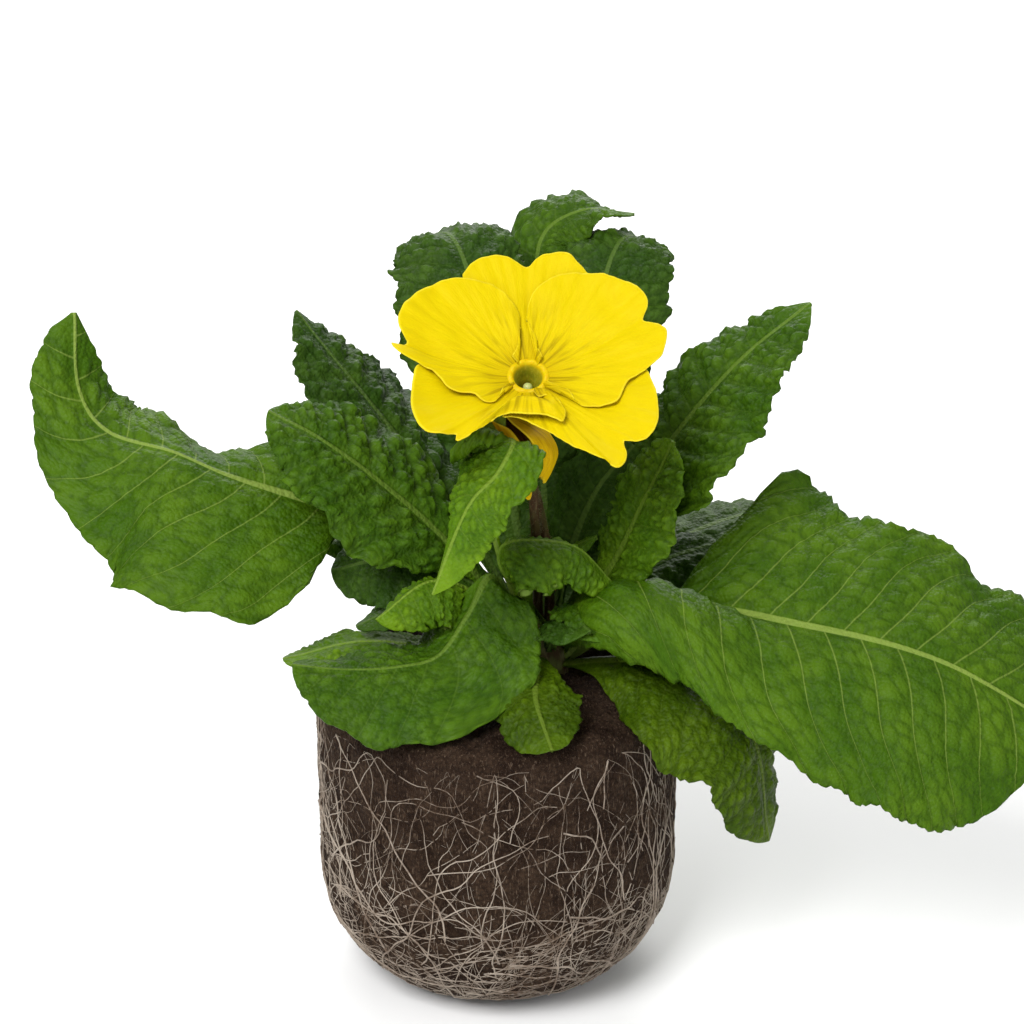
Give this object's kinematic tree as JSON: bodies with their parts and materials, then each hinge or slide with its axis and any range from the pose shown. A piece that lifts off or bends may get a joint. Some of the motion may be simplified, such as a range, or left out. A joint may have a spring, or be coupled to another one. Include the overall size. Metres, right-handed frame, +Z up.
{
  "type": "flowering polyanthus plant with its root ball",
  "caption": "Polyanthus knocked out of its pot: a pot-shaped root ball with pale roots, a rosette of crinkled leaves, an open yellow bloom and an opening one.",
  "frame": {"origin": "centre of the root ball's small flat base, where the plant stands", "axes": "+Z up, -Y towards the side that the bloom faces, +X to the right of someone who faces the bloom"},
  "size_m": [0.2689, 0.1518, 0.202],
  "materials": {
    "peat": "matt crumbly peat",
    "roots": "pale fibrous roots",
    "crown": "pale fleshy stub",
    "stem": "brownish green, finely hairy",
    "leaf": "crinkled green leaf with a soft sheen",
    "young_leaf": "crinkled yellow-green leaf with a soft sheen",
    "petal": "soft yellow petal",
    "bud_petal": "soft deep yellow petal",
    "calyx": "ribbed yellow-green calyx"
  },
  "bodies": {
    "root": {"root_ball": "peat", "root_net": "roots", "crown": "crown", "bloom_stem": "stem", "bud_stem": "stem", "bloom_calyx": "calyx", "bloom_corolla": "petal", "bud_calyx": "calyx", "bud_corolla": "bud_petal", "leaf_west_great": "leaf", "leaf_east_great": "leaf", "leaf_northeast": "leaf", "leaf_northwest_low": "leaf", "leaf_southwest_broad": "leaf", "leaf_southeast_low": "leaf", "leaf_back_west": "leaf", "leaf_north_west_tall": "leaf", "leaf_north_east_tall": "leaf", "leaf_north_top": "leaf", "leaf_north_low": "leaf", "leaf_northeast_low": "leaf", "leaf_northwest_broad": "leaf", "leaf_arched_west": "young_leaf", "leaf_east_upright": "leaf", "leaf_southwest_small": "young_leaf", "leaf_west_small": "leaf", "leaf_south_recurved": "leaf", "leaf_south_small": "leaf", "leaf_south_low": "leaf", "leaf_east_small": "leaf", "leaf_inner_small": "leaf", "leaf_west_pale": "young_leaf"}
  },
  "joints": []
}
